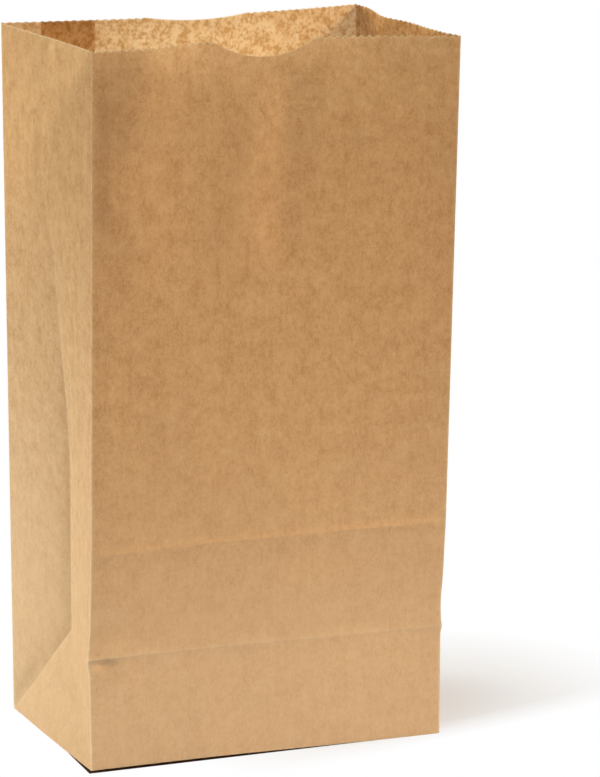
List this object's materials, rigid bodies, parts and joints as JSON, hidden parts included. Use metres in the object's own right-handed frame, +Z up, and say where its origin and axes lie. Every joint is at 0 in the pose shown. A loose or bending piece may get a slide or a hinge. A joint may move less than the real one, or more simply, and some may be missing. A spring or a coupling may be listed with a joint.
{
  "type": "paper bag",
  "caption": "Open kraft paper bag with tucked side gussets, a flat folded bottom and a saw-cut mouth with a thumb notch, standing by itself to hold small goods.",
  "frame": {"origin": "middle of the base, on the surface that the bag stands on", "axes": "+Z up towards the mouth, the front panel with the thumb notch faces -Y, the gussets face -X and +X"},
  "size_m": [0.1602, 0.0977, 0.29],
  "materials": {
    "kraft_paper": "matte, uncoated, unbleached kraft"
  },
  "bodies": {
    "root": {"paper_bag": "kraft_paper"}
  },
  "joints": []
}
